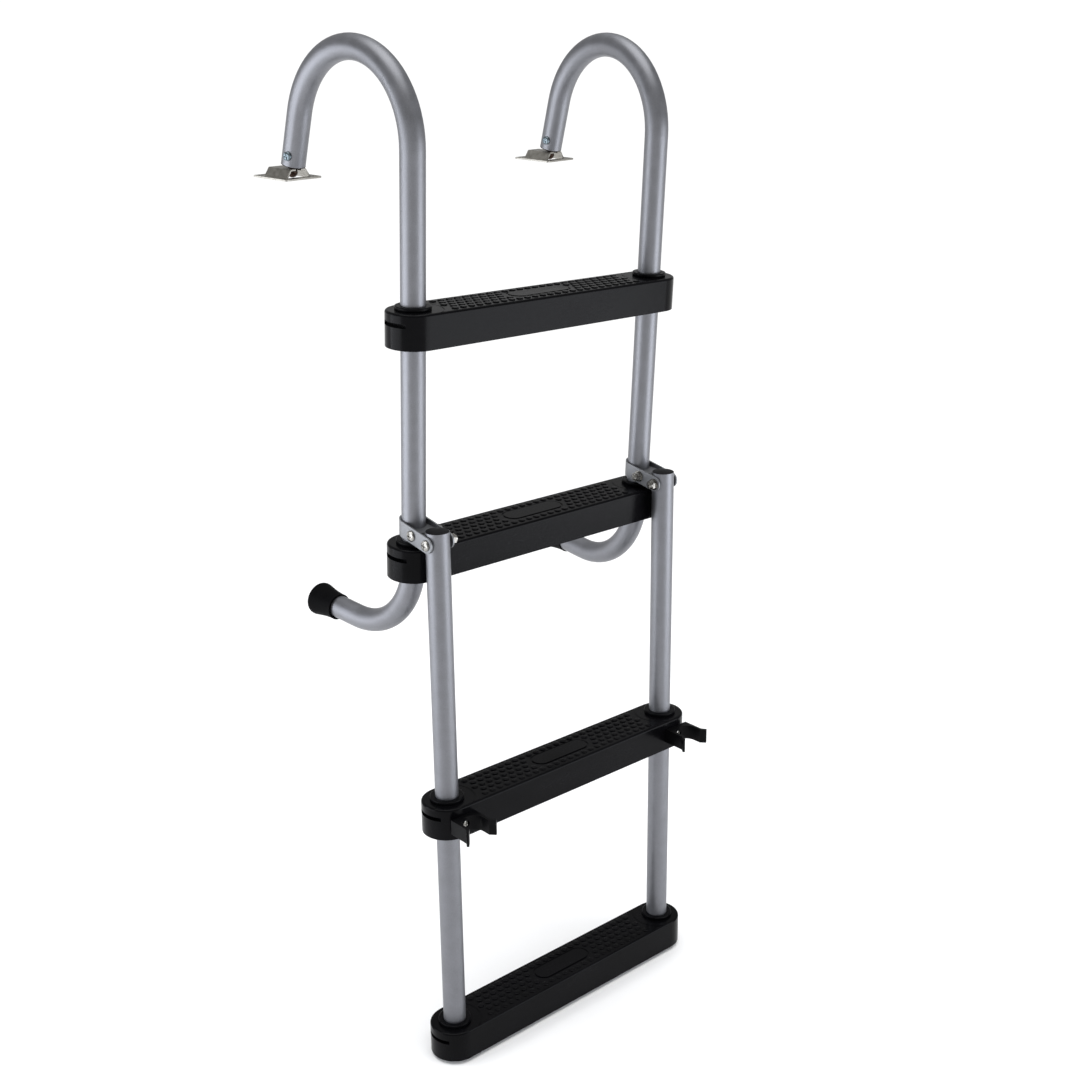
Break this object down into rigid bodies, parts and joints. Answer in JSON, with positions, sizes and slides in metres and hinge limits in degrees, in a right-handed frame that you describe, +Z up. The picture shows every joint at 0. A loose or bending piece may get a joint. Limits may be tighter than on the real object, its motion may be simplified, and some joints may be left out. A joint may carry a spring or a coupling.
{
  "type": "boat boarding ladder",
  "caption": "Hook-over boarding ladder: bent aluminium rails with moulded steps, hinged lower section, storage clips and swivelling screw-down deck plates.",
  "frame": {"origin": "on the deck surface, midway between the points under the two swivel balls", "axes": "+X along the steps, +Y towards the boat, +Z up; the ladder hangs below the origin on the -Y side"},
  "size_m": [0.4127, 0.3476, 1.0928],
  "materials": {
    "rail_aluminium": "satin anodised",
    "hinge_aluminium": "satin painted",
    "step_plastic": "moulded, fine texture",
    "collar_plastic": "smooth",
    "clip_plastic": "smooth",
    "cap_plastic": "smooth",
    "tip_rubber": "matt",
    "plug_plastic": "smooth",
    "stainless_sheet": "stamped",
    "stainless_steel": "polished",
    "zinc_steel": "zinc plated"
  },
  "bodies": {
    "upper_section": {"left_upper_rail": "rail_aluminium", "right_upper_rail": "rail_aluminium", "left_hinge_bracket": "hinge_aluminium", "right_hinge_bracket": "hinge_aluminium", "left_bracket_saddle": "hinge_aluminium", "right_bracket_saddle": "hinge_aluminium", "top_step": "step_plastic", "second_step": "step_plastic", "top_step_collars": "collar_plastic", "second_step_collars": "collar_plastic", "left_standoff_cap": "tip_rubber", "right_standoff_cap": "tip_rubber", "left_hook_plug": "plug_plastic", "right_hook_plug": "plug_plastic", "clamp_bolts": "stainless_steel", "clamp_washers": "stainless_steel", "clamp_nuts": "stainless_steel", "fold_bolts": "stainless_steel", "fold_washers": "stainless_steel", "fold_nuts": "stainless_steel", "upper_step_screws": "stainless_steel", "hook_cross_screws": "zinc_steel"},
    "lower_section": {"left_lower_rail": "rail_aluminium", "right_lower_rail": "rail_aluminium", "left_rail_cap": "cap_plastic", "right_rail_cap": "cap_plastic", "left_storage_clip": "clip_plastic", "right_storage_clip": "clip_plastic", "third_step": "step_plastic", "bottom_step": "step_plastic", "third_step_collars": "collar_plastic", "bottom_step_collars": "collar_plastic", "lower_step_screws": "stainless_steel", "fold_bushes": "plug_plastic", "clip_screws": "stainless_steel"},
    "left_swivel": {"left_swivel_stud": "stainless_steel"},
    "right_swivel": {"right_swivel_stud": "stainless_steel"},
    "left_plate": {"left_deck_plate": "stainless_sheet"},
    "right_plate": {"right_deck_plate": "stainless_sheet"}
  },
  "joints": [
    {"name": "fold", "type": "hinge", "parent": "upper_section", "child": "lower_section", "pos_m": [0, -0.23075, -0.33708], "axis": [-1, 0, 0], "range_deg": [0, 175.5]},
    {"name": "left_swivel_spin", "type": "hinge", "parent": "upper_section", "child": "left_swivel", "pos_m": [-0.1771, 0, 0.0059], "axis": [0.0187, -0.2429, 0.9699], "continuous": true},
    {"name": "left_plate_tilt", "type": "hinge", "parent": "left_swivel", "child": "left_plate", "pos_m": [-0.1771, 0, 0.0059], "axis": [0.9971, 0.0767, 0], "range_deg": [-2.5, 30]},
    {"name": "right_swivel_spin", "type": "hinge", "parent": "upper_section", "child": "right_swivel", "pos_m": [0.1771, 0, 0.0059], "axis": [-0.0187, -0.2429, 0.9699], "continuous": true},
    {"name": "right_plate_tilt", "type": "hinge", "parent": "right_swivel", "child": "right_plate", "pos_m": [0.1771, 0, 0.0059], "axis": [0.9971, -0.0767, 0], "range_deg": [-2.5, 30]}
  ]
}
